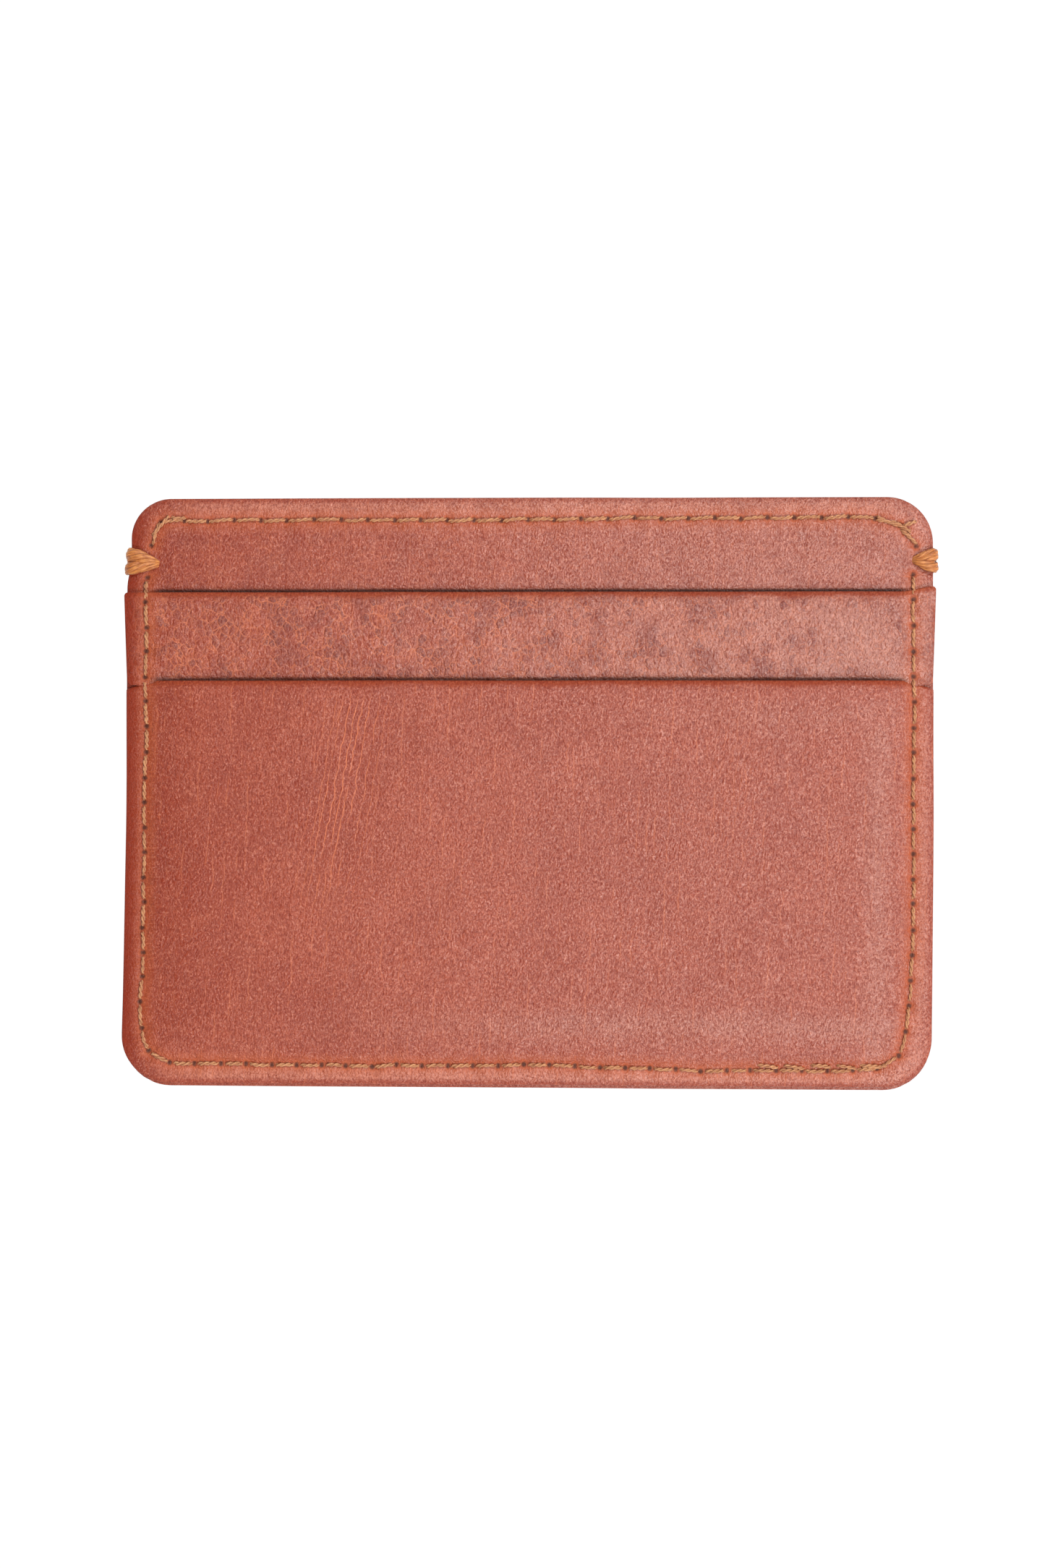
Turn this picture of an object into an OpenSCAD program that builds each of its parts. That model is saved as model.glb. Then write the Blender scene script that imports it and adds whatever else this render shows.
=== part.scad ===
// Leather card holder: two card slots on each face and a centre compartment that opens at the top.
// It lies on its back: +X along its width, +Y towards the mouths, +Z out of its front face.
// The origin is on the resting face, under the middle of the holder. The two faces mirror each other
// about the plane between them, so each half is drawn once, with its heights counted from that plane.

/* [Outline] */
// Width of the holder
body_w = 100; // [98:1:110]
// Height of the holder, from the bottom seam's edge to the top edge
body_h = 72.8; // [72:0.2:80]
// Radius of the outer corners
corner_r = 6; // [5.5:0.1:7]

/* [Slots] */
// Distance from the top edge to the mouth of the upper card slot
upper_mouth_drop = 11.7; // [11:0.1:13]
// Distance from the upper mouth to the lower mouth
mouth_step = 11; // [10:0.1:12]
// Depth of the upper slot, from its mouth to its stitched base
upper_slot_depth = 47; // [42:1:48]
// How far the upper pocket tucks down behind the lower one
tuck = 8; // [5:0.5:9]
// How far below its mouth the lower pocket's wall flexes
lower_flap = 14; // [10:0.5:16]

/* [Materials] */
// Thickness of the leather
leather_t = 0.6; // [0.5:0.05:0.8]
// Thickness of an edge where it is skived and turned under
hem_t = 0.25; // [0.2:0.05:0.3]
// Width of a turned edge
hem_w = 5; // [4:0.5:6]
// Thickness of the centre compartment's lining
lining_t = 0.15; // [0.1:0.05:0.2]
// Thickness of the thin cloth that backs each upper slot
slot_cloth_t = 0.12; // [0.1:0.01:0.14]
// Free gap across the centre compartment when it is empty
centre_gap = 0.3; // [0.25:0.05:0.4]

/* [Stitching] */
// Distance from the side and bottom edges to the seam
seam_inset = 2.4; // [2.2:0.1:2.6]
// Distance from the top edge to the row along each lip
lip_inset = 2.7; // [2.5:0.1:2.9]
// Pitch of the seam
seam_pitch = 3.1; // [2.8:0.1:3.4]
// Pitch of the rows along the lips
lip_pitch = 3.35; // [3:0.05:3.6]
// Width of the sewing thread where it lies on the leather
thread_w = 0.5; // [0.4:0.05:0.6]
// Height of the sewing thread above the leather
thread_t = 0.25; // [0.2:0.05:0.3]

/* [Bar tacks] */
// Distance from the top edge to the middle of each bar tack
tack_drop = 8; // [7.9:0.1:8.3]
// Width of one of the two strands in a bar tack
strand_w = 1.5; // [1.3:0.1:1.6]
// Thickness of a strand
strand_t = 0.42; // [0.35:0.01:0.45]

/* [Hidden] */
$fn = 48;

russet = [0.62, 0.28, 0.20];
burnt = [0.55, 0.22, 0.14];
lining_brown = [0.33, 0.23, 0.17];
board_tan = [0.66, 0.52, 0.38];
thread_tan = [0.72, 0.50, 0.30];
tack_gold = [0.82, 0.53, 0.22];
tape_white = [0.88, 0.86, 0.80];

// Heights outward from the middle plane.
lining_h = centre_gap / 2;
face_hem_h = lining_h + lining_t;
face_skin_h = face_hem_h + hem_t;
face_top_h = face_skin_h + leather_t;
rim_top_h = face_top_h + hem_t + leather_t;
mouth_lift = 0.05;                    // a mouth's turned edge stays this far off the layer under it
plateau_skin_h = rim_top_h + mouth_lift + hem_t;
plateau_top_h = plateau_skin_h + leather_t;
mid_z = plateau_top_h;

// Places along the height of the holder.
top_y = body_h / 2;
bottom_y = -body_h / 2;
half_w = body_w / 2;
upper_mouth_y = top_y - upper_mouth_drop;
lower_mouth_y = upper_mouth_y - mouth_step;
tack_y = top_y - tack_drop;
strand_gap = 0.1;
tack_half_w = strand_w + strand_gap / 2;
lip_fold_y = tack_y + tack_half_w + 0.25;
upper_fold_y = lower_mouth_y + 0.6;
lower_fold_y = lower_mouth_y - lower_flap;
slot_base_y = upper_mouth_y - upper_slot_depth;
tuck_end_y = lower_mouth_y - tuck;

// Widths. The lower pocket's rim lies flat on the face panel, and its wall stands over the slot inside.
rim_w = 3.8;
riser_w = 0.6;
mouth_half_w = half_w - rim_w - 0.7;  // a mouth's free edge, between its sewn ends
mouth_gap = 0.1;                      // free gap beside a mouth's moving part
lining_inset = 0.6;
tape_w = 3;
slot_cloth_half_w = half_w - 5;
mouth_margin = 1;                     // the slot cloth's glued edge stops this far below the lower mouth
base_fold_w = 3;

// Rows of stitches and bar tacks.
seam_x = half_w - seam_inset;
seam_top_y = tack_y - tack_half_w - 0.1;
seam_bottom_y = bottom_y + seam_inset;
lip_row_y = top_y - lip_inset;
row_r = corner_r - lip_inset;         // the rows turn the corners on this radius
hole_gap = 0.7;                       // the length of each stitch that is down in its holes
inner_thread_t = 0.12;                // a lip's stitches are pressed flatter on its lining
tack_in = 3.6;                        // from the side edge to the far side of a tack's slit
slit_clear = 0.05;
tack_slack = 0.02;                    // a tack's strands stand this far off the leather
past = 1;                             // cuts run this far past what they cut

// Layers ---------------------------------------------------------------------------------------

// The holder's outline, drawn smaller by inset.
module outline(inset = 0) {
    r = corner_r - inset;
    w = body_w - 2 * inset;
    h = body_h - 2 * inset;
    square([w - 2 * r, h], center = true);
    square([w, h - 2 * r], center = true);
    for (x = [-1, 1], y = [-1, 1])
        translate([x * (w / 2 - r), y * (h / 2 - r)]) circle(r);
}

// The part of a flat shape between two heights on the holder.
module between(y0, y1) {
    intersection() {
        children();
        translate([-body_w, y0]) square([2 * body_w, y1 - y0]);
    }
}

// A flat layer of thickness t whose inner face is at height h.
module layer(h, t) {
    translate([0, 0, h]) linear_extrude(t) children();
}

// A block across the holder: half width, from y0 to y1, from height h with thickness t.
module strip(half, y0, y1, h, t) {
    translate([-half, y0, h]) cube([2 * half, y1 - y0, t]);
}

// The slits that the two bar tacks pass through.
module tack_slits() {
    for (side = [-1, 1])
        translate([side * (half_w - tack_in + strand_t / 2), tack_y])
            square([strand_t + 2 * slit_clear, 2 * tack_half_w + 2 * slit_clear], center = true);
}

module front() { translate([0, 0, mid_z]) children(); }
module back() { translate([0, 0, mid_z]) mirror([0, 0, 1]) children(); }

// Leather of one half --------------------------------------------------------------------------

// The face panel's leather between two heights, with its edge turned under all round.
module face_leather(y0, y1) {
    layer(face_skin_h, leather_t) between(y0, y1) outline();
    layer(face_hem_h, hem_t) between(y0, y1) difference() {
        outline();
        outline(hem_w);
    }
}

module face_panel() {
    color(russet) difference() {
        face_leather(bottom_y, lip_fold_y);
        layer(0, face_top_h + past) tack_slits();
    }
}

module face_lip() {
    color(russet) face_leather(lip_fold_y, top_y);
}

// The upper pocket: sewn ends beside its mouth, and a tuck behind the lower pocket.
module upper_pocket() {
    color(russet) {
        difference() {
            strip(half_w, lower_mouth_y, upper_mouth_y, face_top_h, hem_t + leather_t);
            strip(half_w - rim_w, lower_mouth_y - past, upper_mouth_y + past, face_top_h - past,
                  hem_t + past);
            strip(mouth_half_w + mouth_gap, upper_fold_y, upper_mouth_y + past, face_top_h,
                  hem_t + leather_t + past);
        }
        strip(half_w - rim_w, tuck_end_y, lower_mouth_y, face_top_h + hem_t, leather_t);
    }
}

module upper_pocket_mouth() {
    color(burnt) {
        strip(mouth_half_w, upper_fold_y, upper_mouth_y, face_top_h + hem_t, leather_t);
        strip(mouth_half_w, upper_mouth_y - hem_w, upper_mouth_y, face_top_h + mouth_lift,
              hem_t - mouth_lift);
    }
}

// A band of the outline below the lower mouth, from inset inwards to the slot's space.
module rim_band(inset) {
    between(bottom_y, lower_mouth_y) difference() {
        outline(inset);
        translate([0, rim_w]) square([body_w - 2 * rim_w, body_h], center = true);
    }
}

// The lower pocket: a flat sewn rim, a short riser inside it, and the wall over the slot.
module lower_pocket() {
    color(russet) difference() {
        union() {
            layer(face_top_h, rim_top_h - face_top_h) rim_band(0);
            layer(face_top_h, plateau_top_h - face_top_h) rim_band(rim_w - riser_w);
            layer(plateau_skin_h, leather_t) between(bottom_y, lower_mouth_y)
                outline(rim_w - riser_w);
        }
        strip(mouth_half_w + mouth_gap, lower_fold_y, lower_mouth_y + past, rim_top_h,
              plateau_top_h - rim_top_h + past);
    }
}

module lower_pocket_mouth() {
    color(burnt) {
        strip(mouth_half_w, lower_fold_y, lower_mouth_y, plateau_skin_h, leather_t);
        strip(mouth_half_w, lower_mouth_y - hem_w, lower_mouth_y, plateau_skin_h - hem_t, hem_t);
    }
}

// Linings and stiffener of one half --------------------------------------------------------------

module lining() {
    color(lining_brown) difference() {
        layer(lining_h, lining_t) between(bottom_y, lip_fold_y) outline(lining_inset);
        layer(0, face_top_h) tack_slits();
    }
}

module lip_lining() {
    color(lining_brown) layer(lining_h, lining_t) between(lip_fold_y, top_y) outline(lining_inset);
}

// Board between the face panel's leather and its lining, inside the turned edge.
module stiffener() {
    color(board_tan) layer(face_hem_h, hem_t)
        between(bottom_y, lip_fold_y - mouth_gap) outline(hem_w + mouth_gap);
}

// Cloth behind the upper pocket, folded where its base is sewn down to the face panel.
module upper_slot_cloth() {
    color(lining_brown) {
        strip(slot_cloth_half_w, slot_base_y, lower_mouth_y - mouth_margin,
              face_top_h + hem_t - slot_cloth_t, slot_cloth_t);
        strip(slot_cloth_half_w, slot_base_y, slot_base_y + base_fold_w, face_top_h, hem_t);
    }
}

// Threads --------------------------------------------------------------------------------------

// One stitch from a to b, shortened where it goes down into its holes.
module stitch(a, b, h, t) {
    d = b - a;
    long = norm(d) - hole_gap - thread_w;
    translate([(a.x + b.x) / 2, (a.y + b.y) / 2, h]) rotate(atan2(d.y, d.x)) linear_extrude(t) {
        square([long, thread_w], center = true);
        for (end = [-1, 1]) translate([end * long / 2, 0]) circle(thread_w / 2, $fn = 16);
    }
}

// A row that comes down one side, turns both lower corners and goes up the other side:
// the point at distance s along it, on half width hx, from height y0 to the base line at y1.
function row_length(hx, y0, y1) = 2 * (abs(y0 - y1) - row_r) + PI * row_r + 2 * (hx - row_r);
function row_point(s, hx, y0, y1) =
    let (
        down = sign(y1 - y0),
        side = abs(y0 - y1) - row_r,
        arc = PI * row_r / 2,
        whole = row_length(hx, y0, y1),
        near = min(s, whole - s),
        flip = s < whole / 2 ? -1 : 1,
        turn = (near - side) / row_r * 180 / PI
    )
    near < side ? [flip * hx, y0 + down * near]
    : near < side + arc
        ? [flip * (hx - row_r + row_r * cos(turn)), y1 + down * row_r * (sin(turn) - 1)]
    : [flip * (hx - row_r - (near - side - arc)), y1];

// The stitches of such a row.
module row(hx, y0, y1, pitch, h, t) {
    whole = row_length(hx, y0, y1);
    count = round(whole / pitch);
    for (i = [0 : count - 1]) {
        a = row_point(whole * i / count, hx, y0, y1);
        b = row_point(whole * (i + 1) / count, hx, y0, y1);
        stitch(a, b, h, t);
    }
}

// One stitch of the seam lies on the face panel above the pockets, and the others on the pockets' rims.
module seam_thread() {
    color(thread_tan) {
        for (side = [-1, 1])
            stitch([side * seam_x, seam_top_y], [side * seam_x, upper_mouth_y], face_top_h, thread_t);
        row(seam_x, upper_mouth_y, seam_bottom_y, seam_pitch, rim_top_h, thread_t);
    }
}

// The row along a lip holds its leather to its lining, with a stitch on each side of them.
module lip_thread() {
    color(thread_tan) {
        row(seam_x, lip_row_y - row_r, lip_row_y, lip_pitch, face_top_h, thread_t);
        row(seam_x, lip_row_y - row_r, lip_row_y, lip_pitch, lining_h - inner_thread_t,
            inner_thread_t);
    }
}

module slot_base_thread() {
    count = floor(2 * slot_cloth_half_w / seam_pitch) - 1;
    start = -count * seam_pitch / 2;
    y = slot_base_y + base_fold_w / 2;
    color(thread_tan) for (i = [0 : count - 1])
        stitch([start + i * seam_pitch, y], [start + (i + 1) * seam_pitch, y],
               face_top_h + hem_t, thread_t);
}

// A bar tack on one side: two thick strands through the slit and round the edge of both halves.
module bar_tack(side) {
    inner_w = tack_in - strand_t + tack_slack;
    inner_h = 2 * (face_top_h + tack_slack);
    color(tack_gold)
        for (strand = [-1, 1])
            translate([side * (half_w + tack_slack - inner_w / 2),
                       tack_y + strand * (strand_w + strand_gap) / 2, mid_z])
                rotate([90, 0, 0]) linear_extrude(strand_w, center = true)
                    difference() {
                        square([inner_w + 2 * strand_t, inner_h + 2 * strand_t], center = true);
                        square([inner_w, inner_h], center = true);
                    }
}

// Tape that holds the two halves together under the seam, open along the top.
module seam_tape() {
    color(tape_white) translate([0, 0, mid_z - centre_gap / 2]) linear_extrude(centre_gap)
        between(bottom_y, seam_top_y) difference() {
            outline(lining_inset);
            translate([0, lining_inset + tape_w])
                square([body_w - 2 * (lining_inset + tape_w), body_h], center = true);
        }
}

// Nodes ----------------------------------------------------------------------------------------

front() face_panel();  // front_face_panel
front() face_lip();  // front_face_lip
front() stiffener();  // front_stiffener
front() lining();  // front_lining
front() lip_lining();  // front_lip_lining
front() lip_thread();  // front_lip_thread
front() upper_pocket();  // front_upper_pocket
front() upper_pocket_mouth();  // front_upper_pocket_mouth
front() upper_slot_cloth();  // front_upper_slot_cloth
front() slot_base_thread();  // front_slot_base_thread
front() lower_pocket();  // front_lower_pocket
front() lower_pocket_mouth();  // front_lower_pocket_mouth
back() face_panel();  // back_face_panel
back() face_lip();  // back_face_lip
back() stiffener();  // back_stiffener
back() lining();  // back_lining
back() lip_lining();  // back_lip_lining
back() lip_thread();  // back_lip_thread
back() upper_pocket();  // back_upper_pocket
back() upper_pocket_mouth();  // back_upper_pocket_mouth
back() upper_slot_cloth();  // back_upper_slot_cloth
back() slot_base_thread();  // back_slot_base_thread
back() lower_pocket();  // back_lower_pocket
back() lower_pocket_mouth();  // back_lower_pocket_mouth
seam_tape();
front() seam_thread();  // seam_needle_thread
back() seam_thread();  // seam_bobbin_thread
bar_tack(-1);  // left_bar_tack
bar_tack(1);  // right_bar_tack
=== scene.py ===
"""A leather card holder, lying on its back: its looks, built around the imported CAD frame.

Lengths are in mm, in the frame's axes, until a mesh is made. A height h is counted from the plane
between the two halves, so one set of surfaces serves the front (side +1) and the back (side -1).
"""

from types import SimpleNamespace

import bpy
import numpy as np
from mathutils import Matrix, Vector


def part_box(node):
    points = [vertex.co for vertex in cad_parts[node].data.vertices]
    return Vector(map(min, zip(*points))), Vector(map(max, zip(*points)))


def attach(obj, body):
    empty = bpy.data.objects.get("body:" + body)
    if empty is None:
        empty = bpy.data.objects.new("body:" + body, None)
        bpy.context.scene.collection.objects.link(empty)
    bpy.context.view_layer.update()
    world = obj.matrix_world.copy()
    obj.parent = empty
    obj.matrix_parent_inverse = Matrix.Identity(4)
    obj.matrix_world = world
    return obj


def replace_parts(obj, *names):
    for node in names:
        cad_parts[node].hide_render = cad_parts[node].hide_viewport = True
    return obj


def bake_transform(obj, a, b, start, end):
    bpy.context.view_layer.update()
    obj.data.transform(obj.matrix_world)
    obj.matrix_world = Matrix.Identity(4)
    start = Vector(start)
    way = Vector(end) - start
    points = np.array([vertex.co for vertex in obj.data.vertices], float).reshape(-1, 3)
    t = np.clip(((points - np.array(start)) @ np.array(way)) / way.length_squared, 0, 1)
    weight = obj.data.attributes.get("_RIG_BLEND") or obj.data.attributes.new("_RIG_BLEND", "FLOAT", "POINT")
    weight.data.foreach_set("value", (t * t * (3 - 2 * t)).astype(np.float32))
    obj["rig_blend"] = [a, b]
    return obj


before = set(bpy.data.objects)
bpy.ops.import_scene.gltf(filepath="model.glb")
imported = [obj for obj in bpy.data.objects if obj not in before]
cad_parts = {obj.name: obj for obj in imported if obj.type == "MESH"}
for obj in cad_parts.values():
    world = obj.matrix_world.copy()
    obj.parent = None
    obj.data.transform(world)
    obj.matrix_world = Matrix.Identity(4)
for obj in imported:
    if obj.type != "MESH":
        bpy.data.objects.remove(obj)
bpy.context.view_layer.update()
MM = 0.001
SIDES = {"front": 1, "back": -1}

# --- Places, from the CAD frame ---


def corners(node):
    """A CAD node's lowest and highest corners, in mm."""
    low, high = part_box(node)
    return np.array(low) / MM, np.array(high) / MM


panel_low, panel_high = corners("front_face_panel")
lip_low, lip_high = corners("front_face_lip")
upper_low, upper_high = corners("front_upper_pocket")
lower_high = corners("front_lower_pocket")[1]
lower_mouth_low = corners("front_lower_pocket_mouth")[0]
lining_low, lining_high = corners("front_lining")
cloth_low, cloth_high = corners("front_upper_slot_cloth")
tape_low, tape_high = corners("seam_tape")
seam_low, seam_high = corners("seam_needle_thread")
lip_row_high = corners("front_lip_thread")[1]
base_row_low, base_row_high = corners("front_slot_base_thread")
tack_low, tack_high = corners("left_bar_tack")

half_w = panel_high[0]
top_y, bottom_y = lip_high[1], panel_low[1]
mid_z = (tape_low[2] + tape_high[2]) / 2
upper_y, lower_y = upper_high[1], lower_high[1]
tuck_y = upper_low[1]
fold_y = lip_low[1]
tack_y = (tack_low[1] + tack_high[1]) / 2

lining_h = lining_low[2] - mid_z
hem_h = panel_low[2] - mid_z
face_h = panel_high[2] - mid_z
rim_h = upper_high[2] - mid_z
plateau_h = lower_high[2] - mid_z

CORNER_R = 6.0  # the holder's outer corners
THREAD_W = 0.5  # the CAD's width of the sewing thread
seam_x = seam_high[0] - THREAD_W / 2
seam_y = seam_low[1] + THREAD_W / 2
lip_row_y = lip_row_high[1] - THREAD_W / 2
seam_inset = half_w - seam_x
SKIN = 0.6  # one layer of leather
FOLDED = 0.85  # leather with its edge turned under
HEM = 5.0  # width of a turned edge
SLOT_EDGE = 3.8  # the slots' spaces start this far from the side edges
EDGE_R = 0.42  # a turned edge is round to this radius
STEP = 0.36  # mesh spacing where the leather is seen
BACK_STEP = 0.6  # the same, on the back half
HIDDEN_STEP = 1.5  # mesh spacing under other leather
CLOTH_STEP = 1.2  # mesh spacing of the linings and slot cloths
STITCH = 3.15  # about how long a stitch is, from hole to hole
NEAR_ROW = 4.0  # how far from a row of stitches the leather is marked by it
BACK_SHIFT = (0.08, -0.48)  # the back half isn't quite under the front one, at the bottom


# --- Numbers and noise ---


def smooth(t):
    """0 below 0, 1 above 1, and a smooth step between."""
    t = np.clip(t, 0, 1)
    return t * t * (3 - 2 * t)


def bell(t):
    """1 at 0, falling smoothly to about 0 at 2 and at -2."""
    return np.exp(-(t**2))


def noise(x, y, seed):
    """Smooth noise from about -1 to 1, with bumps about one unit wide."""
    xi, yi = np.floor(x).astype(np.int64), np.floor(y).astype(np.int64)
    fx, fy = x - xi, y - yi

    def lattice(dx, dy):
        n = (xi + dx) * 374761393 + (yi + dy) * 668265263 + seed * 974634777
        n = ((n ^ (n >> 13)) * 1274126177) & 0x7FFFFFFF
        turn = (n ^ (n >> 16)) % 4096 / 4096 * 2 * np.pi
        return np.cos(turn) * (fx - dx) + np.sin(turn) * (fy - dy)

    u, v = fx**3 * (fx * (fx * 6 - 15) + 10), fy**3 * (fy * (fy * 6 - 15) + 10)
    low = lattice(0, 0) * (1 - u) + lattice(1, 0) * u
    high = lattice(0, 1) * (1 - u) + lattice(1, 1) * u
    return 1.5 * (low * (1 - v) + high * v)


def as_sewn(x, y):
    """The holder is cut and sewn by hand: its bottom leans to the left, its left top corner is
    drawn in, and its right side is a little taller. Every piece takes the same small shifts."""
    up = (y - bottom_y) / (top_y - bottom_y)
    lean = smooth((0.55 - up) / 0.75) * 1.25 * (0.22 * x / half_w - 0.50)
    drawn_in = 0.55 * smooth((-x - 38) / 10) * smooth((y - upper_y - 0.5) / 4)
    tall = (0.14 * up - 0.34 * (1 - up)) * x / half_w
    wander = 0.06 * noise(x / 17, y / 17, 3) * smooth((abs(x) - 38) / 6)
    curl = 0.65 * smooth((x - 46) / 4) * bell((y - upper_y) / 2.5)
    return x + lean + drawn_in + wander, y + tall + curl + 0.05 * noise(x / 23, y / 23, 5)


# --- Meshes ---

ARC = 15  # points along a round corner


def chain(x, low, high, low_r, high_r):
    """One side of an outline from its low end to its high end, on half width x, with round corners."""
    turn = np.linspace(0, np.pi / 2, ARC)
    low_arc = np.c_[x - low_r * (1 - np.sin(turn)), low + low_r * (1 - np.cos(turn))]
    high_arc = np.c_[x - high_r * (1 - np.cos(turn)), high - high_r * (1 - np.sin(turn))]
    return np.vstack([low_arc, high_arc])


def mirrored(points):
    return points * [-1, 1]


def polygon(left, right):
    return np.vstack([right, left[::-1]])


def edge_distance(x, y, sides):
    """Distance of each point from the nearest side of a closed polygon."""
    best = np.full(np.shape(x), 1e9)
    for (ax, ay), (bx, by) in zip(sides, np.roll(sides, -1, axis=0)):
        dx, dy = bx - ax, by - ay
        size = dx * dx + dy * dy
        if size < 1e-9:
            continue
        t = np.clip(((x - ax) * dx + (y - ay) * dy) / size, 0, 1)
        best = np.minimum(best, np.hypot(x - ax - t * dx, y - ay - t * dy))
    return best


def edge_steps(radius):
    """Distances in from a round edge, closest together at the edge."""
    return radius * (1 - np.cos(np.linspace(0, np.pi / 2, 7)[:-1]))


def spaced(bands, radius):
    """Positions from the first band's start to the last one's end. A band is (start, end, spacing)."""
    low, high = bands[0][0], bands[-1][1]
    inner = [
        np.linspace(a, b, max(2, round((b - a) / step)), endpoint=False)
        for a, b, step in [(max(a, low + radius), min(b, high - radius), s) for a, b, s in bands]
    ]
    return np.r_[low + edge_steps(radius), np.concatenate(inner), high - radius,
                 high - edge_steps(radius)[::-1]]


def new_mesh(name, points, faces, materials, face_material=None, **attributes):
    """A mesh object from points in mm, with smooth faces and one value of each attribute per point."""
    mesh = bpy.data.meshes.new(name)
    mesh.from_pydata((points * MM).tolist(), [], faces)
    for key, values in attributes.items():
        kind = "FLOAT_VECTOR" if np.ndim(values) == 2 else "FLOAT"
        attribute = mesh.attributes.new(key, kind, "POINT")
        field = "vector" if kind == "FLOAT_VECTOR" else "value"
        attribute.data.foreach_set(field, np.ravel(values).astype(np.float32))
    for material in materials:
        mesh.materials.append(material)
    if face_material is not None:
        mesh.polygons.foreach_set("material_index", face_material)
    mesh.polygons.foreach_set("use_smooth", [True] * len(mesh.polygons))
    mesh.update()
    piece = bpy.data.objects.new(name, mesh)
    bpy.context.scene.collection.objects.link(piece)
    return piece


def quads(number):
    """The faces between a grid's points, from their numbers."""
    around = [number[:-1, :-1], number[:-1, 1:], number[1:, 1:], number[1:, :-1]]
    return np.stack(around, -1).reshape(-1, 4)


def tube_quads(number):
    """The same for a tube, whose last column of points is joined to its first."""
    return quads(np.c_[number, number[:, 0]])


def grid(left, right, bands, step, radius):
    """Points, as x and y, that fill an outline and lie closest together at its edges."""
    ys = spaced(bands, radius)
    x0, x1 = (np.interp(ys, c[:, 1], c[:, 0])[:, None] for c in (left, right))
    widest = right[:, 0].max() - left[:, 0].min()
    share = np.linspace(0, 1, max(3, round((widest - 2 * radius) / step)))
    steps = edge_steps(radius)
    x = np.hstack([x0 + steps, x0 + radius + (x1 - x0 - 2 * radius) * share, x1 - steps[::-1]])
    return x, np.repeat(ys[:, None], x.shape[1], axis=1)


def placed(x, y, side):
    """Where a point of the front or the back half lies once the halves are sewn together."""
    x, y = as_sewn(x, y)
    if side > 0:
        return x, y
    return x + BACK_SHIFT[0], y + BACK_SHIFT[1] * (1 - (y - bottom_y) / (top_y - bottom_y))


def slab(name, side, left, right, bands, step, top, under, materials, hem=0.0, tint=None,
         radius=EDGE_R):
    """A closed sheet between the surfaces top and under, each a function of (x, y), with round
    edges. left and right are its two sides from the bottom up. Its underside has the second
    material further than hem from the edge."""
    x, y = grid(left, right, bands, step, radius)
    d = edge_distance(x, y, polygon(left, right))
    d[[0, -1], :] = 0
    d[:, [0, -1]] = 0
    high = top(x, y)
    low = under(x, y, high)
    middle, half = (high + low) / 2, (high - low) / 2
    half = half * np.sqrt(1 - (1 - np.clip(d / radius, 0, 1)) ** 2)
    inside = np.zeros(x.shape, bool)
    inside[1:-1, 1:-1] = True
    number = np.arange(x.size).reshape(x.shape)
    below = number.copy()
    below[inside] = x.size + np.arange(inside.sum())
    up, down = quads(number), quads(below)[:, ::-1]
    inner = ((d[:-1, :-1] + d[1:, 1:]).ravel() / 2 > hem) * (len(materials) > 1)
    h = np.r_[(middle + half).ravel(), (middle - half)[inside]]
    px, py = np.r_[x.ravel(), x[inside]], np.r_[y.ravel(), y[inside]]
    points = np.c_[(*placed(px, py, side), mid_z + side * h)]
    return new_mesh(name, points, np.vstack([up, down])[:, ::side].tolist(), materials,
                    np.r_[np.zeros(len(up)), inner].astype(np.int32),
                    rest=np.c_[px, py, side * h], **(tint(px, py) if tint else {}))


# --- Rows of stitches ---


def along(points, pitch):
    """Points at even steps of about pitch along a smooth line through the given points."""
    p = np.array(points, float)
    length = np.hypot(*np.diff(p, axis=0).T)[:, None]
    way = np.diff(p, axis=0) / length
    turned = (length[1:] * way[:-1] + length[:-1] * way[1:]) / (length[1:] + length[:-1])
    heading = np.vstack([way[0], turned, way[-1]])
    pull = np.minimum(length, 5.0)
    t = np.linspace(0, 1, 40, endpoint=False)[:, None]
    line = [
        (1 + 2 * t) * (1 - t) ** 2 * a + t * (1 - t) ** 2 * size * before
        + t * t * (3 - 2 * t) * b - t * t * (1 - t) * size * after
        for a, b, size, before, after in zip(p[:-1], p[1:], pull, heading[:-1], heading[1:])
    ]
    line = np.vstack([*line, p[-1]])
    s = np.r_[0, np.cumsum(np.hypot(*np.diff(line, axis=0).T))]
    at = np.linspace(0, s[-1], round(s[-1] / pitch) + 1)
    return np.c_[np.interp(at, s, line[:, 0]), np.interp(at, s, line[:, 1])]


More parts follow.
